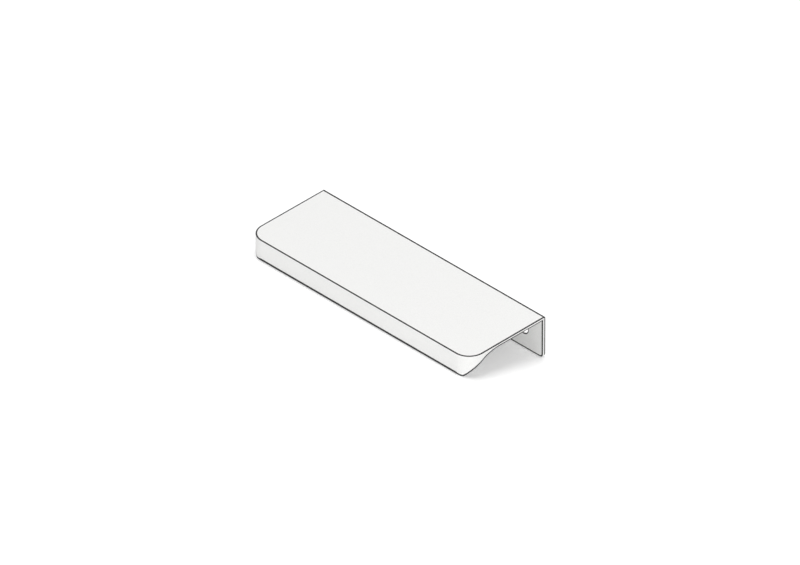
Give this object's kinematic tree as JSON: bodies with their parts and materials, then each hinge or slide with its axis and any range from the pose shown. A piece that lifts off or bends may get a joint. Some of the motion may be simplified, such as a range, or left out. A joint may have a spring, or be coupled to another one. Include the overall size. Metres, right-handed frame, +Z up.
{
  "type": "handleless finger pull profile",
  "caption": "Thin edge pull for a door or drawer front: flat plate with rounded front corners, a hollowed grip lip, and a rear leg with countersunk screw holes.",
  "frame": {"origin": "on the floor, below the middle of the profile's bounding box, as it rests on the tip of its lip and the bottom of its leg", "axes": "+X along the extruded length, +Y from the lip to the screwed leg, +Z up; the plate slopes up towards +Y by 12.92 degrees"},
  "size_m": [0.116, 0.043, 0.0178],
  "materials": {
    "coated_aluminium": "matt white powder coat on extruded aluminium"
  },
  "bodies": {
    "root": {"finger_pull_profile": "coated_aluminium"}
  },
  "joints": []
}
